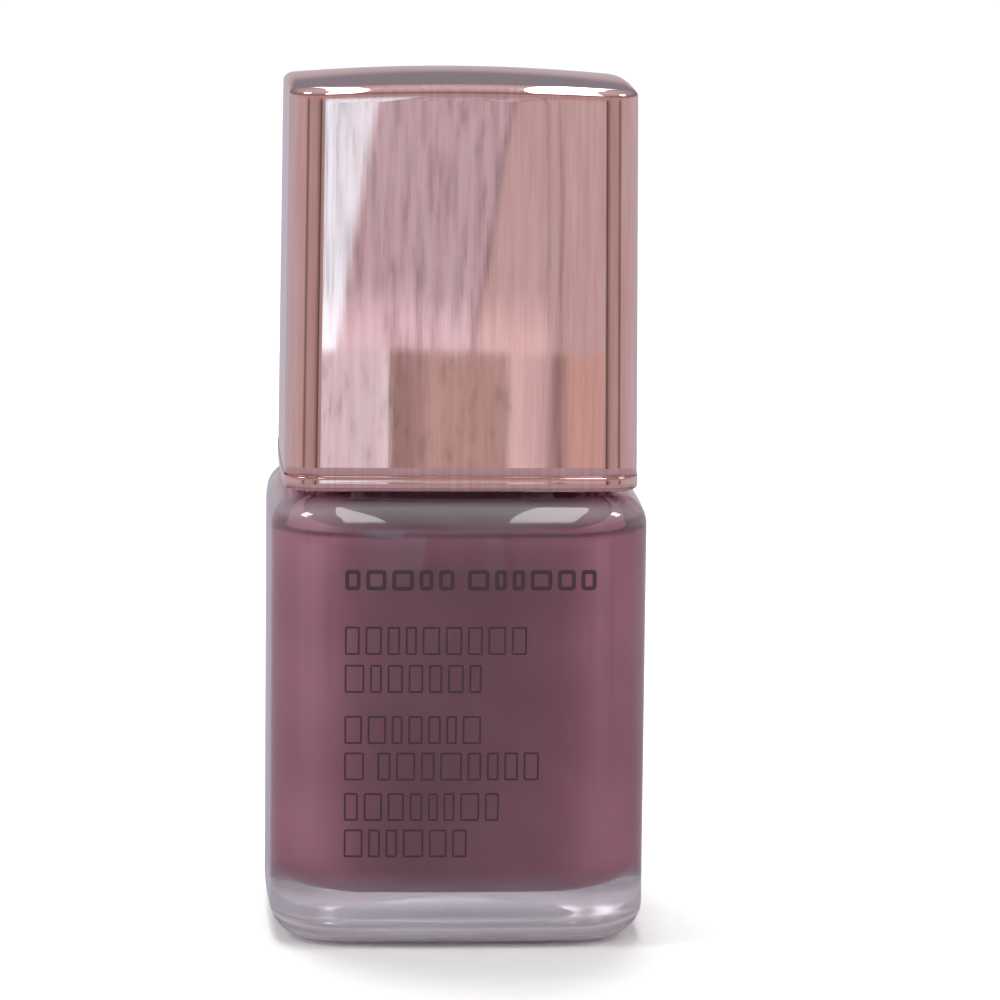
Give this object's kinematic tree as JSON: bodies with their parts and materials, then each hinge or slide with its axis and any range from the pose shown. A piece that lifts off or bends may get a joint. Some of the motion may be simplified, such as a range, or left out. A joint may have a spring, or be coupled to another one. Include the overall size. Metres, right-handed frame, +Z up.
{
  "type": "nail polish bottle",
  "caption": "Square glass nail polish bottle with a mauve fill, a square rose-gold screw cap and a brush inside.",
  "frame": {"origin": "centre of the base, on the surface that the bottle stands on", "axes": "+Z up along the neck and brush, -Y towards the front face, +X to the right of the front face"},
  "size_m": [0.029, 0.029, 0.066],
  "materials": {
    "flint_glass": "polished",
    "lacquer_mauve": "wet gloss",
    "steel_ball": "polished",
    "label_paper": "matt",
    "rose_gold": "vacuum metallised",
    "closure_pp": "moulded",
    "liner_pe": "moulded",
    "stem_pp": "moulded",
    "bristle_nylon": "drawn filament",
    "anchor_brass": "drawn",
    "print_ink": "screen printed"
  },
  "bodies": {
    "bottle": {"glass_bottle": "flint_glass", "lacquer": "lacquer_mauve", "mixing_ball_1": "steel_ball", "mixing_ball_2": "steel_ball", "base_label": "label_paper"},
    "liner": {"seal_liner": "liner_pe"},
    "stem": {"brush_stem": "stem_pp"},
    "cap": {"outer_cap": "rose_gold", "inner_cap": "closure_pp", "brush_tuft": "bristle_nylon", "tuft_anchor": "anchor_brass"}
  },
  "joints": [
    {"name": "cap_lift", "type": "slide", "parent": "bottle", "child": "liner", "axis": [0, 0, 1], "range_m": [0, 0.045]},
    {"name": "thread_rise", "type": "slide", "parent": "liner", "child": "stem", "axis": [0, 0, 1], "range_m": [0, 0.0037]},
    {"name": "cap_turn", "type": "hinge", "parent": "stem", "child": "cap", "pos_m": [0, 0, 0.0455], "axis": [0, 0, 1], "range_deg": [0, 630]}
  ],
  "couplings": [
    {"joint": "thread_rise", "follows": "cap_turn", "m_per_rad": 0.00033693}
  ]
}
